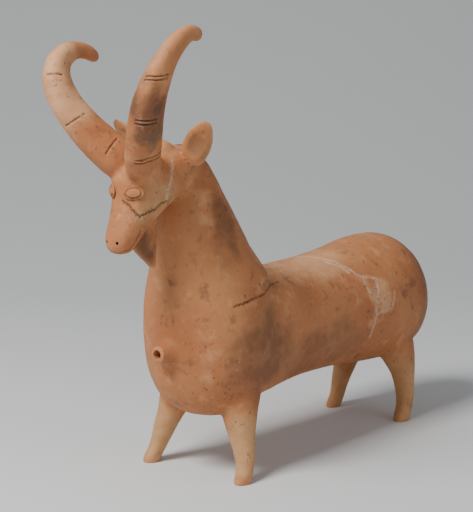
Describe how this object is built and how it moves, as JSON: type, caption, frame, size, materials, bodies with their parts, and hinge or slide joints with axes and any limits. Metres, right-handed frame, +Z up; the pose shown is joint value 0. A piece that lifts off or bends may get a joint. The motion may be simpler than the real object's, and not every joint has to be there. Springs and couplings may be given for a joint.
{
  "type": "ibex rhyton",
  "caption": "Hollow terracotta pouring vessel shaped as a standing long-horned ibex, filled through its crown and poured from a small chest spout.",
  "frame": {"origin": "middle of the bounding box, level with the undersides of the four hooves", "axes": "+Z up, +Y from the head towards the rump so the animal faces -Y, +X towards the animal's left side"},
  "size_m": [0.1199, 0.4049, 0.3571],
  "materials": {
    "terracotta": "unglazed, burnished, matt"
  },
  "bodies": {
    "root": {"ibex_rhyton": "terracotta"}
  },
  "joints": []
}
